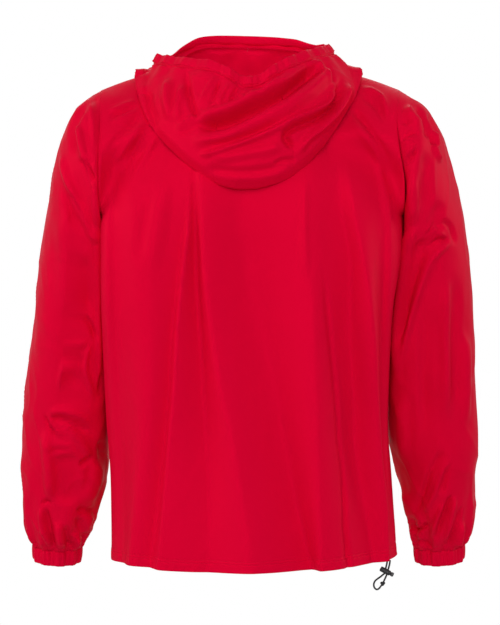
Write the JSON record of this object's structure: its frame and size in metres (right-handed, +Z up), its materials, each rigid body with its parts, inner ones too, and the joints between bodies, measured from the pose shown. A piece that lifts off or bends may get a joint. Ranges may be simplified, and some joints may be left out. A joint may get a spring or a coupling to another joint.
{
  "type": "anorak pullover",
  "caption": "Hooded anorak pullover of light woven cloth, filled out as worn, hood thrown back, with gathered cuffs and a corded hem.",
  "frame": {"origin": "middle of the neck opening, level with the tops of the shoulders, where the wearer holds the garment up", "axes": "+Z up along the wearer's height, -Y the way the wearer faces, +X towards the wearer's left arm"},
  "size_m": [0.6788, 0.3021, 0.8141],
  "materials": {
    "shell_cloth": "smooth satin-faced woven polyester",
    "cord": "braided",
    "lock_plastic": "moulded"
  },
  "bodies": {
    "root": {"back_panel": "shell_cloth", "front_panel": "shell_cloth", "sleeve_left": "shell_cloth", "sleeve_right": "shell_cloth", "cuff_left": "shell_cloth", "cuff_right": "shell_cloth", "hood_centre": "shell_cloth", "hood_left": "shell_cloth", "hood_right": "shell_cloth", "hood_casing": "shell_cloth", "hem_cord_down": "cord", "hem_cord_back": "cord", "hem_cord_loop_out": "cord", "hem_cord_loop_back": "cord", "cord_knot": "cord", "cord_lock_barrel": "lock_plastic", "cord_lock_plunger": "lock_plastic"}
  },
  "joints": []
}
